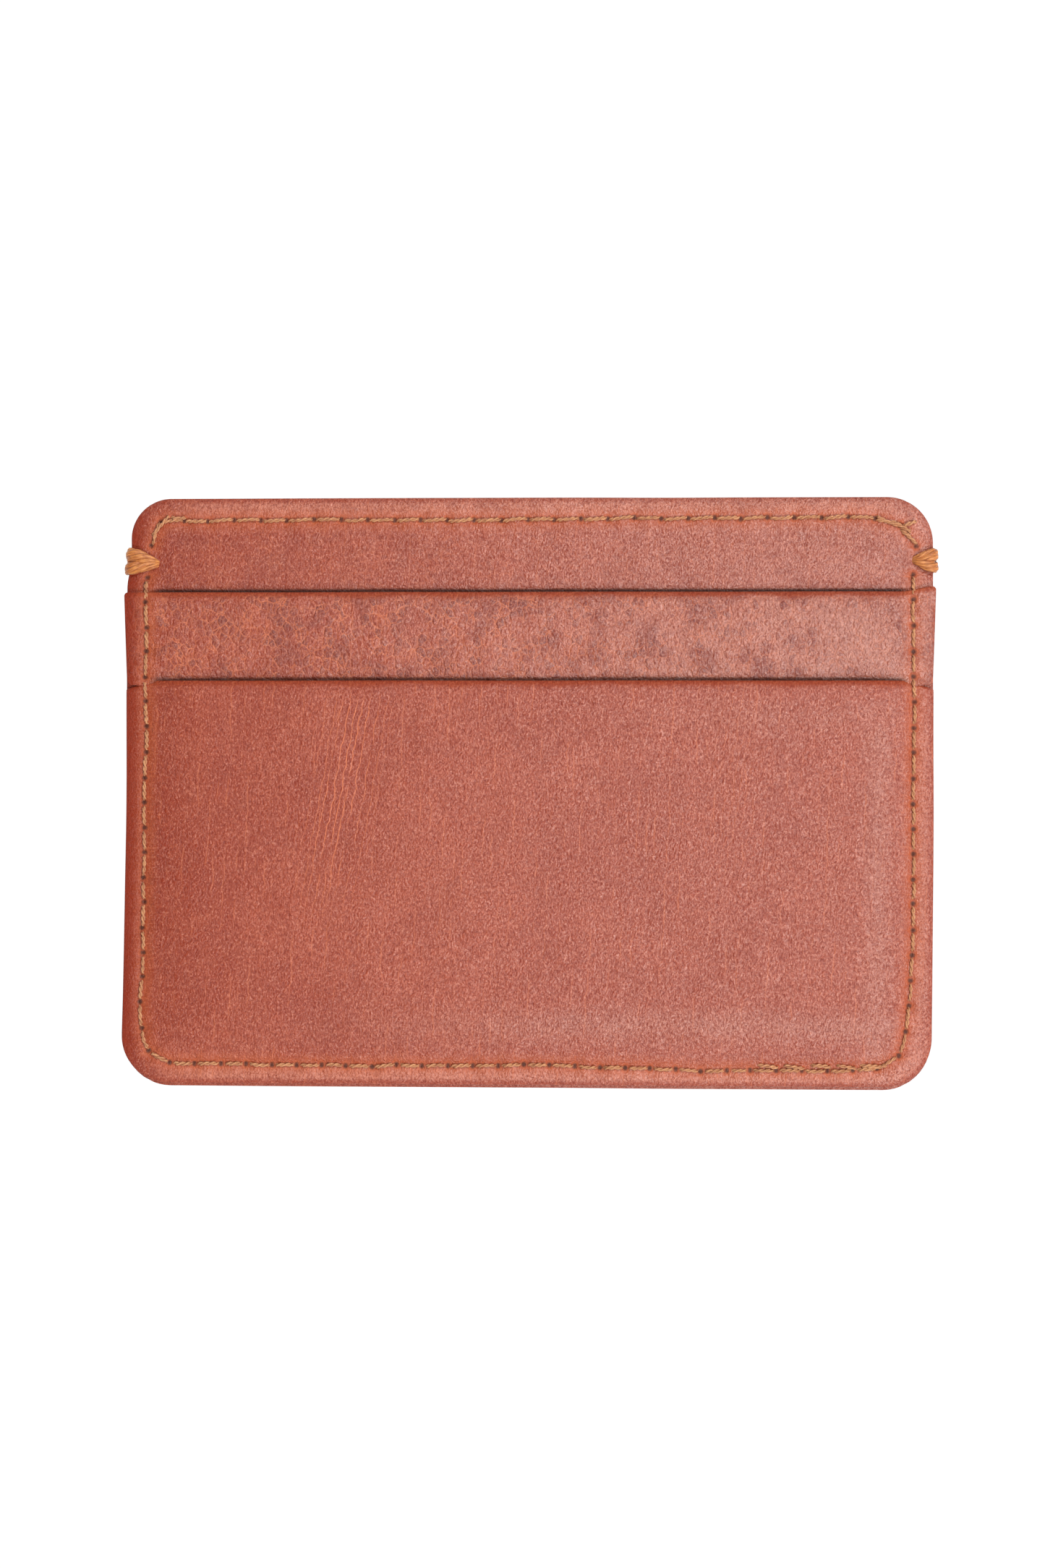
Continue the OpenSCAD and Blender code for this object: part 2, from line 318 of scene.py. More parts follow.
class Row:
    """A row of stitches: the holes they go down through, and how they pull the leather."""

    def __init__(self, holes, seed, gap, slant=0.0, depth=1.0):
        self.chance = chance = np.random.default_rng(seed)
        self.depth = depth
        self.holes = holes + chance.normal(0, 0.075, holes.shape)
        step = np.diff(self.holes, axis=0)
        self.length = np.hypot(*step.T)
        self.way = step / self.length[:, None]
        self.across = self.way[:, ::-1] * [-1, 1]
        slant = slant + chance.normal(0, 0.03, (len(step), 1))
        gap = gap * chance.uniform(0.75, 1.2, (len(step), 1))
        self.starts = self.holes[:-1] + self.way * gap * 0.6 - self.across * slant
        self.ends = self.holes[1:] - self.way * gap * 0.4 + self.across * slant
        self.gather()

    def gather(self):
        """The leather swells at both sides of each stitch, and dips at each hole."""
        chance, each = self.chance, (len(self.way), 1)
        middle = (self.holes[:-1] + self.holes[1:]) / 2 + self.way * chance.normal(0, 0.25, each)
        reach = chance.uniform(0.85, 1.25, each)
        self.bulges = np.vstack([middle + self.across * reach, middle - self.across * reach])
        self.bulge_way = np.vstack([self.way, self.way])
        self.bulge_long = chance.uniform(0.6, 1.0 + 0.8 * self.depth, len(self.bulges))
        self.swell = chance.uniform(0.02, 0.12, len(self.bulges)) * self.depth
        self.dimples = chance.uniform(0.14, 0.34, len(self.holes)) * self.depth

    def near(self, x, y):
        """The points near the row: their numbers, their distances from it, and their x and y."""
        low, high = self.holes.min(0) - NEAR_ROW, self.holes.max(0) + NEAR_ROW
        found = np.flatnonzero((x > low[0]) & (x < high[0]) & (y > low[1]) & (y < high[1]))
        line = edge_distance(x[found], y[found], np.vstack([self.holes, self.holes[::-1]]))
        found, line = found[line < NEAR_ROW], line[line < NEAR_ROW]
        return found, line, x[found][:, None], y[found][:, None]

    def pull(self, x, y):
        """How far the row pulls the leather down, or lets it swell, at each point."""
        height = np.zeros(np.size(x))
        near, line, px, py = self.near(np.ravel(x), np.ravel(y))
        hole = np.hypot(px - self.holes[:, 0], py - self.holes[:, 1])
        dx, dy = px - self.bulges[:, 0], py - self.bulges[:, 1]
        along_it = (dx * self.bulge_way[:, 0] + dy * self.bulge_way[:, 1]) / 0.72
        across_it = (dx * self.bulge_way[:, 1] - dy * self.bulge_way[:, 0]) / self.bulge_long
        height[near] = (
            -0.13 * self.depth * bell(line / 0.55)
            - (self.dimples * bell(hole / 0.85)).sum(1)
            + (self.swell * np.exp(-(along_it**2) - across_it**2)).sum(1)
        )
        return height.reshape(np.shape(x))

    def sewn(self, x, y):
        """Each point's place along the row, counted in stitches, and across it in mm; and whether
        it is near the row."""
        place = np.zeros((np.size(x), 3))
        near, _, px, py = self.near(np.ravel(x), np.ravel(y))
        hole, way, length = self.holes[:-1], self.way, self.length
        along_it = (px - hole[:, 0]) * way[:, 0] + (py - hole[:, 1]) * way[:, 1]
        share = np.clip(along_it / length, 0, 1)
        off = np.hypot(px - hole[:, 0] - share * length * way[:, 0],
                       py - hole[:, 1] - share * length * way[:, 1])
        best = off.argmin(1)
        pick = np.arange(len(near)), best
        place[near, 0] = best + share[pick]
        place[near, 1] = off[pick]
        place[near, 2] = 1
        return place


def lip_holes(side):
    """The row along a lip, from just above the left tack to just above the right one."""
    shift = 0.0 if side > 0 else 0.25
    return along(
        [(-seam_x + 0.1, fold_y + 0.25), (-seam_x + 0.3, fold_y + 1.9),
         (-seam_x + 2.1, lip_row_y + 0.3), (-seam_x + 4.5, lip_row_y), (0, lip_row_y + shift),
         (seam_x - 5.2, lip_row_y), (seam_x - 3.0, lip_row_y - 0.5),
         (seam_x - 1.2, lip_row_y - 1.3), (seam_x, fold_y + 0.9), (seam_x + 0.3, fold_y + 0.1)],
        pitch=3.3)


def seam_holes():
    """The seam, down the left side, along the bottom and up the right side."""
    return along(
        [(-seam_x + 0.1, tack_y - 1.75), (-seam_x, lower_y), (-seam_x, seam_y + 6.0),
         (-seam_x + 0.35, seam_y + 3.2), (-seam_x + 2.0, seam_y + 0.5), (-seam_x + 5.0, seam_y),
         (0, seam_y + 0.05), (seam_x - 3.6, seam_y), (seam_x - 1.9, seam_y + 1.3),
         (seam_x - 0.9, seam_y + 4.5), (seam_x - 0.3, seam_y + 11), (seam_x, lower_y),
         (seam_x - 0.1, tack_y - 1.75)],
        pitch=3.12)


lip_rows = {side: Row(lip_holes(side), 11 + side, gap=0.45, slant=0.12, depth=0.75)
            for side in SIDES.values()}
seam_rows = {side: Row(seam_holes(), 21 + side, gap=0.85, slant=0.03) for side in SIDES.values()}

# --- Surfaces of the leather ---

face_right = chain(half_w, bottom_y, top_y, CORNER_R, CORNER_R - 0.3)
face_left = mirrored(chain(half_w, bottom_y, top_y, CORNER_R, CORNER_R - 1.0))
face_outline = polygon(face_left, face_right)
lower_end = [[half_w, lower_y - 1.15], [half_w - 0.3, lower_y - 0.9], [half_w - 3.2, lower_y - 0.2],
             [half_w - 3.8, lower_y]]
lower_right = np.vstack([chain(half_w, bottom_y, lower_y, CORNER_R, 0.3)[:ARC], lower_end])
lower_left = mirrored(lower_right)
tall_right = chain(half_w, bottom_y, 2 * top_y, CORNER_R, CORNER_R)
tall_outline = polygon(mirrored(tall_right), tall_right)
shoulder = [[half_w - SLOT_EDGE - 0.1, tuck_y], [half_w - SLOT_EDGE - 0.1, lower_y - 0.85],
            [half_w - 0.1, lower_y - 0.8]]
upper_right = np.vstack([shoulder, chain(half_w + 0.3, lower_y, upper_y, 0.2, 0.45)[ARC:]])
upper_left = mirrored(upper_right)
upper_outline = polygon(upper_left, upper_right)


def rim(d):
    """The leather slopes down from its seam to its turned edge."""
    return -0.48 * (1 - np.clip(d / (seam_inset + 0.1), 0, 1)) ** 1.4


def relief(x, y, seed):
    """Soft unevenness of a hide, from broad waves to fine folds of its grain."""
    return (
        0.15 * noise(x / 11, y / 8, seed)
        + 0.045 * noise(x / 3.4, y / 4.4, seed + 1)
        + 0.010 * noise(x / 0.9, y / 1.5, seed + 2)
    )


def sewn_down(x):
    """1 away from the side seams, falling to 0 at them."""
    return smooth((half_w - abs(x) - seam_inset) / 2.2)


def rolled(x, y, mouth_y):
    """How far a mouth's folded edge rolls down, on the last part below the mouth."""
    wander = 0.15 * noise(x / 7, x * 0 + mouth_y, 33)
    return -0.36 * (1 - smooth((mouth_y - y) / (1.5 + wander))) ** 1.2 * (0.25 + 0.75 * sewn_down(x))


def pressed(x, y, mouth_y):
    """How far the leather under a mouth's edge is pressed down by it."""
    above = y - mouth_y
    crease = 0.42 * bell((above - 0.03) / 0.24)
    return -(crease + 0.16 * bell(above / 1.3)) * sewn_down(x)


def mouth_shadow(x, y, mouth_y):
    """How strongly each point is painted with the shadow under a mouth's edge, from 0 to 1: a dark
    line at the edge and a softer shade round it.
    """
    shade = 0.95 * bell((y - mouth_y) / 0.27) + 0.22 * bell(y - mouth_y)
    return np.clip(shade, 0, 1) * sewn_down(x)


def puckers(x, y):
    """Creases that run in from the seams, at a few of the stitches."""
    ds = half_w - abs(x)
    waves = noise(y / 1.1 + ds * 0.16, x * 0 + np.sign(x), 7)
    reach = 3.5 + 3 * noise(y / 7, x * 0 + np.sign(x), 8)
    return 0.06 * waves * bell((ds - seam_inset) / reach) * (ds > seam_inset)


def face_top(side):
    def top(x, y):
        d = edge_distance(x, y, face_outline)
        seen = smooth((y - upper_y + 0.6) / 0.5)
        pinch = 0.30 * np.exp(-(((abs(x) - half_w) / 4.6) ** 2) - ((y - tack_y) / 1.9) ** 2)
        h = rim(d) + 0.14 * smooth((d - seam_inset) / 4) + relief(x, y, 40 + side)
        h = h + lip_rows[side].pull(x, y) + seam_rows[side].pull(x, y) - pinch
        return face_h - 0.03 + seen * h + pressed(x, y, upper_y)

    return top


def face_under(x, y, high):
    d = edge_distance(x, y, face_outline)
    skin = hem_h + (FOLDED - SKIN) * smooth((d - HEM + 0.5) / 0.5)
    return np.minimum(skin, high - 0.12)


def upper_top(side):
    def top(x, y):
        ds = half_w - abs(x)
        h = rim(ds) + 0.06 * smooth((ds - seam_inset) / 4) + relief(x, y, 50 + side)
        up = np.clip((y - lower_y) / (upper_y - lower_y), 0, 1)
        h = h + 0.20 * np.sin(np.pi * up) * smooth(ds / 8)
        h = h + seam_rows[side].pull(x, y) + rolled(x, y, upper_y) + puckers(x, y)
        h = rim_h + h * smooth((y - lower_y + 0.6) / 0.5) + pressed(x, y, lower_y)
        tucked = smooth((lower_y + 0.1 - y) / 0.5) * smooth((ds - 0.5) / 1.5)
        return h * (1 - tucked) + (rim_h - 0.22) * tucked

    return top


def upper_under(x, y, high):
    ear = smooth((abs(x) - (half_w - SLOT_EDGE)) / 0.4)
    hem = smooth((y - upper_y + HEM) / 0.4)
    thick = np.maximum(ear, hem)
    return np.minimum((face_h + 0.04) * thick + (rim_h - SKIN + 0.01) * (1 - thick), high - 0.12)


def creases(x, y):
    """Where long fine folds slant down the lower pocket, from 0 to 1."""
    down = (12.0 - y) / 32.0
    middle = -21.0 - 5.5 * down
    across = bell((x - middle) / 4.2)
    fade = smooth((1.02 - down) / 0.45) * smooth((down + 0.05) / 0.12)
    second = 0.35 * bell((x - 26 + 2.5 * down) / 3.5) * smooth((1.0 - down) / 0.5)
    return np.clip(across * fade + second, 0, 1)


def risen(d, reach):
    """How far the lower pocket has risen at d in from an edge, over reach, from 0 to 1."""
    return 1 - (1 - np.clip((d - seam_inset - 0.2) / reach, 0, 1)) ** 3


def lower_top(side):
    def top(x, y):
        ds = edge_distance(x, y, tall_outline)
        from_side, from_bottom = half_w - abs(x), y - bottom_y
        rise = risen(from_side, 12) * risen(from_bottom, 9)
        h = rim_h + (plateau_h - rim_h) * rise
        h = h + rim(ds) + 0.7 * relief(x, y, 60 + side) + seam_rows[side].pull(x, y) + puckers(x, y)
        h = h + rolled(x, y, lower_y)
        if side > 0:
            crown = smooth((from_side - 6) / 22) * smooth((from_bottom - 5) / 20)
            crown = crown * smooth((lower_y + 4 - y) / 22)
            return h + 0.25 * crown
        return np.minimum(h, plateau_h)

    return top


def lower_under(x, y, high):
    ds = edge_distance(x, y, tall_outline)
    hem = smooth((y - lower_y + HEM) / 0.4)
    wall = high - SKIN - (FOLDED - SKIN) * hem
    wall = np.maximum(wall, np.where(y > lower_y - HEM, rim_h + 0.03, wall))
    wall = np.minimum(wall, high - 0.30)
    open_in = smooth((ds - SLOT_EDGE + 0.6) / 0.7)
    return (face_h + 0.04) * (1 - open_in) + wall * open_in


def painted_sheen_at(x, y):
    """Where a pale sheen is painted on the leather as a highlight, towards the right: at the strip's
    end, over its mouth, beside the seam and over its bottom row, from 0 to 1."""
    in_strip = smooth((y - lower_y - 0.5) / 1.5) * smooth((upper_y - 1.2 - y) / 2.0)
    at_end = 1.1 * bell((x - 40) / 8) * in_strip
    over_mouth = 0.65 * bell((y - upper_y - 3.0) / 2.0) * smooth((x - 2) / 34)
    under_mouth = 0.35 * bell((y - lower_y + 4.5) / 2.5) * smooth(x / 30)
    by_seam = 0.6 * bell((x - half_w + 7.0) / 2.0) * smooth((lower_y - 3 - y) / 4)
    over_base = 0.6 * bell((y - bottom_y - 7.5) / 2.2) * smooth((x + 36) / 50)
    most = np.maximum.reduce([at_end, over_mouth, under_mouth, by_seam, over_base])
    inside = smooth((half_w - 3.4 - x) / 1.5)
    return most * inside * (0.75 + 0.25 * noise(x / 4, y / 4, 17))


def burnish_and_shade_at(x, y, d, mouth_y):
    """Where a piece is burnished dark at its edge, and darker along its mouth's fold, from 0 to 1.
    On the fold the darker band is partly burnish and partly painted shade of the fold rolling
    away from the light.
    """
    edge = 0.45 * bell(d / (0.50 + 0.15 * noise(x / 5, y / 5, 14)))
    if mouth_y is None:
        return edge
    wander = 0.3 * noise(x / 6, y * 0, 15) + 0.12 * noise(x / 1.3, y * 0, 16)
    # The band along the mouth's fold: burnished, and darkened further as painted shade where the fold rolls
    # away from the light.
    band = 1 - smooth((mouth_y - y - 0.30 + wander) / 0.7)
    return np.maximum(edge, band * (y < mouth_y + 0.5))


def painted_rim_highlight(x, y, d, mouth_y):
    """Where a padded rim is painted lighter, as a highlight from the lamps at the top, bottom
    and right, from 0 to 1.
    """
    worn = smooth((d - 0.35) / 0.4) * smooth((2.9 - d) / 1.4) * smooth((x + half_w - 2) / 9)
    worn = worn * smooth((half_w + 1.2 - x) / 5)
    return worn if mouth_y is None else worn * smooth((mouth_y - y - 4) / 3)


def nearest_row(rows, x, y):
    """Each point's place along whichever row is nearest to it, as Row.sewn gives it."""
    places = np.stack([row.sewn(x, y) for row in rows])
    off = np.where(places[:, :, 2] > 0, places[:, :, 1], np.inf)
    return places[off.argmin(0), np.arange(len(x))]


def dyed(rows, outline, mouth_y=None, under_y=None, creased=False):
    """What a piece's material needs to know: where it is burnished (darker on its mouth's fold,
    partly as painted shade), where a painted highlight lies on its rims and a painted sheen lies
    towards the right, where painted shadow lies under a mouth's edge, where it is sewn and where
    creased. mouth_y is its own mouth, and under_y the mouth that lies on it."""

    def tints(x, y):
        d = edge_distance(x, y, outline)
        return {
            "burnish": burnish_and_shade_at(x, y, d, mouth_y),
            "worn": painted_rim_highlight(x, y, d, mouth_y),
            "deep": np.zeros(len(x)) if under_y is None else mouth_shadow(x, y, under_y),
            "sewn": nearest_row(rows, x, y),
            "bloom": painted_sheen_at(x, y),
            "creased": creases(x, y) if creased else np.zeros(len(x)),
        }

    return tints


# --- Threads ---

PLY_SIDES = 6  # sides of each of a thread's tubes


def ways_of(path, side_way):
    """Along a path: the distance from its start, and the way square to it and to side_way."""
    tangent = np.gradient(path, axis=0)
    tangent /= np.linalg.norm(tangent, axis=1)[:, None]
    normal = np.cross(side_way, tangent)
    normal /= np.linalg.norm(normal, axis=1)[:, None]
    return np.r_[0, np.cumsum(np.linalg.norm(np.diff(path, axis=0), axis=1))], normal


def plies(path, side_way, radius, count, pitch, phase=0.0, flat=1.0, core=False):
    """A twisted thread along a path: tubes wound round it, with one more inside them for core.
    side_way is level and square to the path. Returns the thread's points and faces, and for its
    material each point's place in it: along it, and across its ply."""
    n = len(path)
    radius = np.broadcast_to(np.asarray(radius, float), (n,))
    s, normal = ways_of(path, side_way)
    thick = radius / (1 + 1 / np.sin(np.pi / count))
    ring = np.linspace(0, 2 * np.pi, PLY_SIDES, endpoint=False)
    tubes = [(thick, radius - thick, ply / count) for ply in range(count)]
    if core:
        tubes.append((radius - thick, radius * 0, 0.5))
    points, faces, places = [], [], []
    for k, (size, off, share) in enumerate(tubes):
        turn = 2 * np.pi * (share + s / pitch) + phase
        ring_x, ring_y = size[:, None] * np.cos(ring), size[:, None] * np.sin(ring)
        wide = flat * (off * np.cos(turn))[:, None] + flat * size[:, None] * np.cos(ring)
        high = (off * np.sin(turn))[:, None] / flat + ring_y / flat
        tube = path[:, None] + wide[:, :, None] * side_way + high[:, :, None] * normal[:, None]
        points.append(tube.reshape(-1, 3))
        place = np.repeat(s[:, None], PLY_SIDES, 1) + 7 * phase, ring_x + 3.1 * k, ring_y
        places.append(np.stack(place, -1).reshape(-1, 3))
        number = k * n * PLY_SIDES + np.arange(n * PLY_SIDES).reshape(n, PLY_SIDES)
        faces += tube_quads(number).tolist()
        faces += [number[0, ::-1].tolist(), number[-1].tolist()]
    return np.vstack(points), faces, np.vstack(places)


class Parts:
    """Collects threads into one mesh."""

    def __init__(self):
        self.points, self.faces, self.places, self.count = [], [], [], 0

    def add(self, made):
        points, faces, places = made
        self.points.append(points)
        self.faces += [[i + self.count for i in f] for f in faces]
        self.places.append(places)
        self.count += len(points)

    def piece(self, name, materials):
        points = np.vstack(self.points)
        x, y = as_sewn(points[:, 0], points[:, 1])
        return new_mesh(name, np.c_[x, y, points[:, 2]], self.faces, materials,
                        rest=np.vstack(self.places))


def stitches(parts, starts, ends, chance, surface, side, radius=0.255, rings=13):
    """Adds stitches to parts: each comes up at its start and goes down at its end."""
    t = np.linspace(0, 1, rings)
    t = (0.5 - 0.5 * np.cos(np.pi * t)) * 0.5 + t * 0.5
    length = np.hypot(*(ends - starts).T)[:, None]
    across = ((ends - starts) / length)[:, ::-1] * [-1, 1]
    bend = chance.normal(0, 0.06, length.shape) * np.sin(np.pi * t)
    flat = starts[:, None] + (ends - starts)[:, None] * t[:, None]
    flat = flat + bend[:, :, None] * across[:, None]
    dive = bell(np.minimum(t, 1 - t) * length / 0.16)
    under = surface(flat[:, :, 0], flat[:, :, 1])
    taut = under.mean(1, keepdims=True)
    h = 0.5 * under + 0.5 * taut + 0.75 * radius - 0.45 * dive + 0.05 * np.sin(np.pi * t)
    path = np.concatenate([flat, (mid_z + side * h)[:, :, None]], 2)
    width = radius * chance.uniform(0.90, 1.12, length.shape) * (1 - 0.2 * dive)
    for line, way, wide in zip(path, across, width):
        parts.add(plies(line, np.r_[way, 0.0], wide, count=2, pitch=1.6, phase=chance.uniform(0, 6)))


# --- Materials ---


class Nodes:
    """Builds a node material with short calls."""

    def __init__(self, name):
        self.material = bpy.data.materials.new(name)
        self.material.use_nodes = True
        self.tree = self.material.node_tree
        self.shader = self.tree.nodes["Principled BSDF"]

    def node(self, kind, settings=None, **inputs):
        made = self.tree.nodes.new("ShaderNode" + kind)
        for key, value in (settings or {}).items():
            setattr(made, key, value)
        for key, value in inputs.items():
            self.put(made, key.replace("_", " "), value)
        return made

    def put(self, node, key, value):
        """Links or sets an input, given by its name, or by its number as in i0."""
        numbered = key[0] == "i" and key[1:].isdigit()
        socket = node.inputs[int(key[1:]) if numbered else key]
        if isinstance(value, bpy.types.NodeSocket):
            self.tree.links.new(value, socket)
        else:
            socket.default_value = value

    def attribute(self, name):
        made = self.node("Attribute", {"attribute_name": name})
        return made.outputs["Vector" if name in ("rest", "sewn") else "Fac"]

    def math(self, operation, a, b=0.0, clamp=False):
        made = self.node("Math", {"operation": operation, "use_clamp": clamp}, i0=a, i1=b)
        return made.outputs[0]

    def times(self, a, b, clamp=False):
        return self.math("MULTIPLY", a, b, clamp)

    def plus(self, a, b, clamp=False):
        return self.math("ADD", a, b, clamp)

    def most(self, first, *others):
        for other in others:
            first = self.math("MAXIMUM", first, other)
        return first

    def noise(self, vector, scale, detail=3.0, rough=0.55):
        made = self.node("TexNoise", Vector=vector, Scale=scale, Detail=detail, Roughness=rough)
        return made.outputs["Fac"]

    def ramp(self, value, low, high, to_low=0.0, to_high=1.0):
        """Smooth step of a value between low and high."""
        made = self.node("MapRange", {"interpolation_type": "SMOOTHSTEP"}, Value=value,
                         From_Min=low, From_Max=high, To_Min=to_low, To_Max=to_high)
        return made.outputs["Result"]

    def mix(self, factor, a, b):
        """Colour b over colour a. Each is a socket, or red, green and blue."""
        a, b = ((*colour, 1) if isinstance(colour, tuple) else colour for colour in (a, b))
        return self.node("Mix", {"data_type": "RGBA"}, i0=factor, i6=a, i7=b).outputs[2]

    def turned(self, vector, angle):
        made = self.node("Mapping", {"vector_type": "POINT"}, Vector=vector)
        made.inputs["Rotation"].default_value = (0, 0, -angle)
        return made.outputs[0]

    def scaled(self, vector, x, y, z):
        made = self.node("VectorMath", {"operation": "MULTIPLY"}, i0=vector, i1=(x, y, z))
        return made.outputs[0]

    def first(self, vector):
        """The vector's x."""
        return self.node("SeparateXYZ", Vector=vector).outputs[0]

    def wander(self, vector, scale, amount):
        """The vector moved about by noise, so that lines drawn with it aren't straight."""
        turb = self.node("TexNoise", Vector=vector, Scale=scale, Detail=2.0)
        centred = self.node("VectorMath", {"operation": "SUBTRACT"}, i0=turb.outputs["Color"],
                            i1=(0.5, 0.5, 0.5))
        grown = self.node("VectorMath", {"operation": "SCALE"}, i0=centred.outputs[0],
                          Scale=amount)
        moved = self.node("VectorMath", {"operation": "ADD"}, i0=vector, i1=grown.outputs[0])
        return moved.outputs[0]

    def cells(self, vector, scale, feature="DISTANCE_TO_EDGE", output="Distance"):
        made = self.node("TexVoronoi", {"feature": feature}, Vector=vector, Scale=scale)
        return made.outputs[output]

    def lines(self, place, often, width):
        """Lines at random places, about often of them in each unit of place, from 0 to 1."""
        made = self.node("TexVoronoi", {"voronoi_dimensions": "1D", "feature": "DISTANCE_TO_EDGE"},
                         W=place, Scale=often)
        return self.ramp(made.outputs["Distance"], 0.0, width, 1.0, 0.0)

    def strands(self, place, angle, often, least):
        """Fine lines that run up and down a hide, leaning by an angle. often is how many there are
        in a mm, and each shows where a noise is over least."""
        moved = self.turned(self.wander(place, 0.45, 0.9), angle)
        shown = self.noise(self.scaled(moved, 0.9, 0.13, 1.0), 1.0, 2.0, 0.5)
        return self.times(self.lines(self.first(moved), often, 0.11),
                          self.ramp(shown, least - 0.08, least + 0.08))

    def stitched(self):
        """Along a seam: how much the leather is rubbed round its holes, how dark the painted shade
            is down in each hole and along the stitches' groove, and the fine wrinkles that run out from
            the stitches."""
        place = self.node("SeparateXYZ", Vector=self.attribute("sewn"))
        count, across, near = place.outputs
        along_it = self.times(self.math("PINGPONG", count, 0.5), STITCH)
        apart = self.plus(self.times(along_it, along_it), self.times(across, across))
        apart = self.math("SQRT", apart)
        rubbed = self.most(self.ramp(apart, 0.35, 1.15, 1.0, 0.0), self.ramp(across, 0.2, 2.0, 0.60, 0.0))
        pit_shade = self.most(self.ramp(apart, 0.14, 0.52, 0.85, 0.0), self.ramp(across, 0.24, 0.46, 0.15, 0.0))
        loose = self.noise(self.attribute("rest"), 0.9, 2.0, 0.5)
        wrinkle = self.lines(self.plus(count, self.times(loose, 0.35)), 5.0, 0.16)
        wrinkle = self.times(wrinkle, self.ramp(across, 0.25, 2.3, 1.0, 0.0))
        wrinkle = self.times(wrinkle, self.ramp(loose, 0.36, 0.54))
        return [self.times(field, near) for field in (rubbed, pit_shade, wrinkle)]

    def bump(self, height, distance, strength=1.0, normal=None):
        made = self.node("Bump", Height=height, Distance=distance * MM, Strength=strength)
        if normal is not None:
            self.put(made, "Normal", normal)
        return made.outputs["Normal"]

    def finish(self, **inputs):
        for key, value in inputs.items():
            self.put(self.shader, key.replace("_", " "), value)
        return self.material


RUST = (0.455, 0.082, 0.036)  # the leather's clear orange brown
MAROON = (0.335, 0.038, 0.012)  # deeper red: random clouds of tone, and painted shade towards the left, away from the lamps
PAINTED_SHEEN_TINT = (0.535, 0.190, 0.126)  # painted sheen: a pale highlight laid over it, towards the right
RIM_HIGHLIGHT_TINT = (0.68, 0.235, 0.150)  # painted highlight on the padded rims
SMOKE = (0.230, 0.050, 0.038)  # its dark, greyish cells and clouds
EMBER = (0.36, 0.052, 0.012)  # burnished edges, and the mouths' folds, where the darker band is partly painted shade
PORE = (0.240, 0.030, 0.014)  # the dark specks of its grain
GLOW = (0.68, 0.220, 0.130)  # the light specks of its grain
SEAR = (0.72, 0.195, 0.085)  # opened grain: the cells' outlines, and long folds
BARE = (0.57, 0.125, 0.045)  # worn round the stitch holes
LEFT_RIM_SHADE = (0.29, 0.027, 0.006)  # painted shade on the left rim, which faces away from the lamps
PAINTED_SHADE_DARK = (0.025, 0.008, 0.006)  # painted shade: down in the mouths and the stitch holes, and the shadow under each mouth's edge


def hide_fields(n, cell, tall):
    """The fields that a leather's colour, relief and gloss are made of. right is how far to the
    right of the holder's middle each point is, in mm."""
    rest = n.attribute("rest")
    # hole is the painted shade down in the stitch holes and along their groove.
    seam, hole, wrinkle = n.stitched()
    fibre = n.scaled(n.wander(rest, 1.2, 0.5), 1.0, 0.72, 1.0)
    drawn = n.scaled(n.wander(rest, 0.9, 0.7), 1.0, 1.0 / tall, 1.0)
    return SimpleNamespace(
        rest=rest, right=n.first(rest), seam=seam, wrinkle=wrinkle,
        # the painted shade under mouths' edges and down in the stitch holes
        deep=n.most(n.attribute("deep"), hole),
        **{name: n.attribute(name) for name in ("burnish", "worn", "bloom", "creased")},
        cloud=n.noise(rest, 0.10, 3.0, 0.5),
        patch=n.noise(rest, 0.28, 2.0, 0.5),
        blotch=n.noise(n.scaled(rest, 1.0, 0.6, 1.0), 0.45, 3.0, 0.6),
        speck=n.noise(fibre, 3.8, 3.0, 0.8),
        pebble=n.cells(fibre, 4.3, "F1"),
        inward=n.cells(drawn, 1.0 / cell),
        finer=n.cells(drawn, 2.3 / cell),
        tone=n.first(n.cells(drawn, 1.0 / cell, "F1", "Color")))


def opened_grain(n, hide, crackle, streak):
    """Where the grain has opened: cells' outlines, creases, seam wrinkles and upright lines."""
    outline = n.most(n.ramp(hide.inward, 0.0, 0.10, 0.80, 0.0), n.ramp(hide.finer, 0.0, 0.16, 0.40, 0.0))
    some = n.times(n.ramp(hide.blotch, 0.34, 0.62, 0.20, 1.0),
                   n.ramp(hide.right, -10.0, 40.0, 1.0, 0.55))
    return n.most(n.times(outline, n.times(some, crackle)),
                  n.times(hide.creased, n.strands(hide.rest, -0.17, 1.05, 0.40)),
                  n.times(hide.wrinkle, 0.6),
                  n.times(n.strands(hide.rest, -0.04, 0.75, 0.57), streak))


